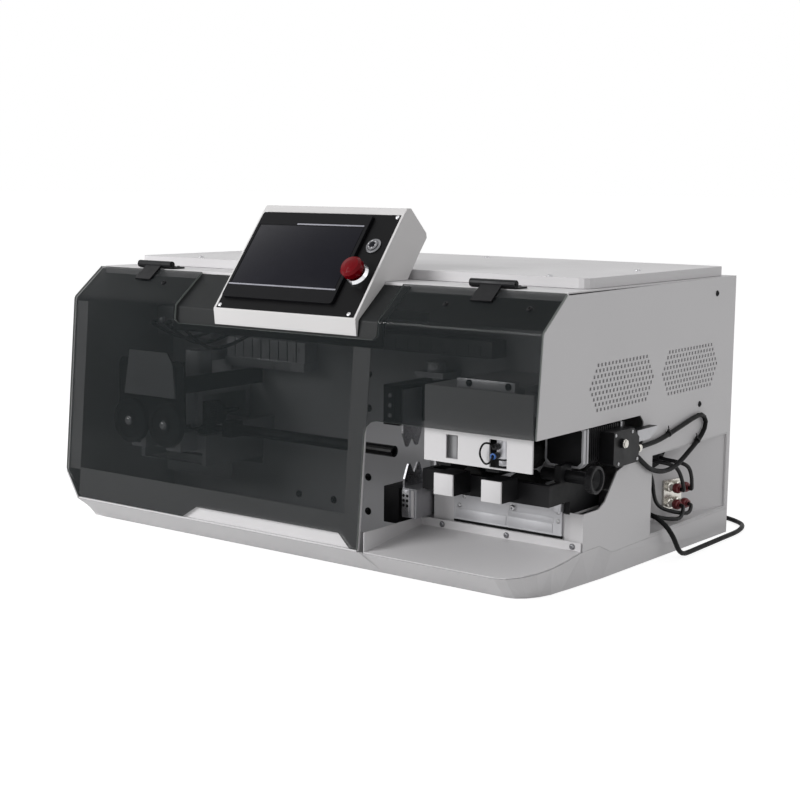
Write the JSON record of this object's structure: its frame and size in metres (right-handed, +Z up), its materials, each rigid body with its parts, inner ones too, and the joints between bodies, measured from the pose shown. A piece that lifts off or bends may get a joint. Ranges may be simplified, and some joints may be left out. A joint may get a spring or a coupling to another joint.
{
  "type": "wire cutting and stripping machine",
  "caption": "Bench-top automatic wire cutting and stripping machine with hinged smoked guard, tilted touch-screen console, feed rollers, V blades, wire inlet and product tray.",
  "frame": {"origin": "on the standing plane, under the middle of the machine's bounding box (cord, coil and plug left out)", "axes": "+X to the machine's right along its front (the wire inlet side), +Y to the back, +Z up"},
  "size_m": [0.8739, 0.7008, 0.4945],
  "materials": {
    "painted_panel": "fine powder coat",
    "console_paint": "fine powder coat",
    "smoked_acrylic": "polished smoked acrylic",
    "dark_panel": "satin",
    "face_plate": "satin",
    "screen": "gloss",
    "bright_metal": "polished",
    "red_plastic": "gloss",
    "black_metal": "black anodised",
    "black_plastic": "matte",
    "black_rubber": "matte",
    "roller_rubber": "ribbed",
    "ground_steel": "ground",
    "grey_aluminium": "bead blasted",
    "aluminium": "clear anodised",
    "grey_plate": "satin",
    "grey_plastic": "matte",
    "brass": "nickel plated"
  },
  "bodies": {
    "machine": {"base_pan": "painted_panel", "left_side_panel": "painted_panel", "right_side_panel": "painted_panel", "rear_panel": "painted_panel", "top_panel": "painted_panel", "top_lid": "painted_panel", "front_frame": "painted_panel", "product_tray": "painted_panel", "infeed_front_plate": "painted_panel", "connector_pocket": "painted_panel", "neck_panel": "dark_panel", "hinge_fixed_leaf_left": "black_metal", "hinge_fixed_leaf_right": "black_metal", "console_shell": "console_paint", "console_face_plate": "face_plate", "touch_screen": "screen", "estop_collar": "bright_metal", "power_button_ring": "bright_metal", "mounting_plate": "grey_plate", "inlet_guide_tube": "black_metal", "exit_guide_tube": "black_metal", "outfeed_front_plate": "black_metal", "blade_column": "grey_aluminium", "infeed_motor": "black_metal", "outfeed_motor": "black_metal", "blade_motor": "black_metal", "motor_terminal_box": "black_metal", "motor_cable": "black_rubber", "air_fittings": "brass", "power_gland": "black_plastic", "power_cord": "black_rubber", "power_cord_coil": "black_rubber", "mains_plug": "black_rubber", "valve_bank": "aluminium", "cable_trunking": "grey_plastic", "infeed_lower_frame": "grey_aluminium", "infeed_lift_cylinder": "aluminium", "outfeed_lower_frame": "grey_aluminium", "outfeed_lift_cylinder": "aluminium"},
    "cover": {"front_cover": "smoked_acrylic", "hinge_moving_leaf_left": "black_metal", "hinge_moving_leaf_right": "black_metal"},
    "power_button": {"power_button": "bright_metal"},
    "estop_button": {"estop_button": "red_plastic"},
    "infeed_lift": {"infeed_upper_frame": "grey_aluminium"},
    "outfeed_lift": {"outfeed_upper_frame": "grey_aluminium"},
    "conduit": {"outlet_conduit": "black_metal"},
    "blade_screw": {"blade_screw": "ground_steel"},
    "upper_blade_slide": {"upper_blade_carriage": "black_metal", "upper_blade": "ground_steel"},
    "lower_blade_slide": {"lower_blade_carriage": "aluminium", "lower_blade": "ground_steel"},
    "infeed_lower_roller_1": {"infeed_lower_roller_1": "roller_rubber"},
    "infeed_lower_roller_2": {"infeed_lower_roller_2": "roller_rubber"},
    "infeed_upper_roller_1": {"infeed_upper_roller_1": "roller_rubber"},
    "infeed_upper_roller_2": {"infeed_upper_roller_2": "roller_rubber"},
    "outfeed_lower_roller_1": {"outfeed_lower_roller_1": "roller_rubber"},
    "outfeed_lower_roller_2": {"outfeed_lower_roller_2": "roller_rubber"},
    "outfeed_upper_roller_1": {"outfeed_upper_roller_1": "roller_rubber"},
    "outfeed_upper_roller_2": {"outfeed_upper_roller_2": "roller_rubber"}
  },
  "joints": [
    {"name": "cover_hinge", "type": "hinge", "parent": "machine", "child": "cover", "pos_m": [-0.0115, -0.19975, 0.402], "axis": [-1, 0, 0], "range_deg": [0, 90]},
    {"name": "power_button_press", "type": "slide", "parent": "machine", "child": "power_button", "axis": [0, 0.7875, -0.6163], "range_m": [0, 0.002], "stiffness_N_per_m": 400},
    {"name": "estop_press", "type": "slide", "parent": "machine", "child": "estop_button", "axis": [0, 0.7875, -0.6163], "range_m": [0, 0.004]},
    {"name": "infeed_lift_slide", "type": "slide", "parent": "machine", "child": "infeed_lift", "axis": [0, 0, 1], "range_m": [0, 0.01]},
    {"name": "outfeed_lift_slide", "type": "slide", "parent": "machine", "child": "outfeed_lift", "axis": [0, 0, 1], "range_m": [0, 0.01]},
    {"name": "conduit_swing", "type": "hinge", "parent": "machine", "child": "conduit", "pos_m": [-0.2035, -0.15725, 0.153], "axis": [0, -1, 0], "range_deg": [0, 12]},
    {"name": "blade_screw_spin", "type": "hinge", "parent": "machine", "child": "blade_screw", "pos_m": [0.1385, -0.09925, 0.153], "axis": [0, 0, 1], "range_deg": [0, 940]},
    {"name": "upper_blade_feed", "type": "slide", "parent": "machine", "child": "upper_blade_slide", "axis": [0, 0, 1], "range_m": [-0.026, 0]},
    {"name": "lower_blade_feed", "type": "slide", "parent": "machine", "child": "lower_blade_slide", "axis": [0, 0, 1], "range_m": [0, 0.0261]},
    {"name": "infeed_lower_roller_1_spin", "type": "hinge", "parent": "machine", "child": "infeed_lower_roller_1", "pos_m": [0.254, -0.15725, 0.133], "axis": [0, 1, 0], "continuous": true},
    {"name": "infeed_lower_roller_2_spin", "type": "hinge", "parent": "machine", "child": "infeed_lower_roller_2", "pos_m": [0.329, -0.15725, 0.133], "axis": [0, 1, 0], "continuous": true},
    {"name": "infeed_upper_roller_1_spin", "type": "hinge", "parent": "infeed_lift", "child": "infeed_upper_roller_1", "pos_m": [0.254, -0.15725, 0.173], "axis": [0, 1, 0], "continuous": true},
    {"name": "infeed_upper_roller_2_spin", "type": "hinge", "parent": "infeed_lift", "child": "infeed_upper_roller_2", "pos_m": [0.329, -0.15725, 0.173], "axis": [0, 1, 0], "continuous": true},
    {"name": "outfeed_lower_roller_1_spin", "type": "hinge", "parent": "machine", "child": "outfeed_lower_roller_1", "pos_m": [-0.324, -0.15725, 0.133], "axis": [0, 1, 0], "continuous": true},
    {"name": "outfeed_lower_roller_2_spin", "type": "hinge", "parent": "machine", "child": "outfeed_lower_roller_2", "pos_m": [-0.249, -0.15725, 0.133], "axis": [0, 1, 0], "continuous": true},
    {"name": "outfeed_upper_roller_1_spin", "type": "hinge", "parent": "outfeed_lift", "child": "outfeed_upper_roller_1", "pos_m": [-0.324, -0.15725, 0.173], "axis": [0, 1, 0], "continuous": true},
    {"name": "outfeed_upper_roller_2_spin", "type": "hinge", "parent": "outfeed_lift", "child": "outfeed_upper_roller_2", "pos_m": [-0.249, -0.15725, 0.173], "axis": [0, 1, 0], "continuous": true}
  ],
  "couplings": [
    {"joint": "lower_blade_feed", "follows": "upper_blade_feed", "ratio": -1},
    {"joint": "blade_screw_spin", "follows": "upper_blade_feed", "rad_per_m": -628.32},
    {"joint": "infeed_lower_roller_2_spin", "follows": "infeed_lower_roller_1_spin", "ratio": 1},
    {"joint": "infeed_upper_roller_1_spin", "follows": "infeed_lower_roller_1_spin", "ratio": -1},
    {"joint": "infeed_upper_roller_2_spin", "follows": "infeed_lower_roller_1_spin", "ratio": -1},
    {"joint": "outfeed_lower_roller_2_spin", "follows": "outfeed_lower_roller_1_spin", "ratio": 1},
    {"joint": "outfeed_upper_roller_1_spin", "follows": "outfeed_lower_roller_1_spin", "ratio": -1},
    {"joint": "outfeed_upper_roller_2_spin", "follows": "outfeed_lower_roller_1_spin", "ratio": -1}
  ]
}
